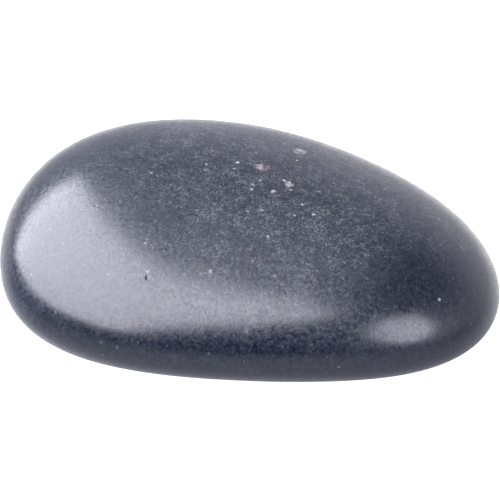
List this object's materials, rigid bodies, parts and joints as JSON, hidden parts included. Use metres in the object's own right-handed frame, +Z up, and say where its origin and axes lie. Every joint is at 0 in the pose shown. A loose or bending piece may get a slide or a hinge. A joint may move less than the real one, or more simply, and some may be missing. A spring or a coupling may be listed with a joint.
{
  "type": "river pebble",
  "caption": "Smooth, satin-polished, egg-shaped basalt river pebble, fat at one end and narrower at the other, resting on a small worn flat.",
  "frame": {"origin": "on the resting surface, under the middle of the pebble's bounding box", "axes": "+X along the pebble, from the fat heel to the narrow nose; +Z up, from the resting surface to the crown; +Y across the pebble"},
  "size_m": [0.09, 0.0678, 0.0308],
  "materials": {
    "basalt": "satin polish"
  },
  "bodies": {
    "root": {"pebble": "basalt"}
  },
  "joints": []
}
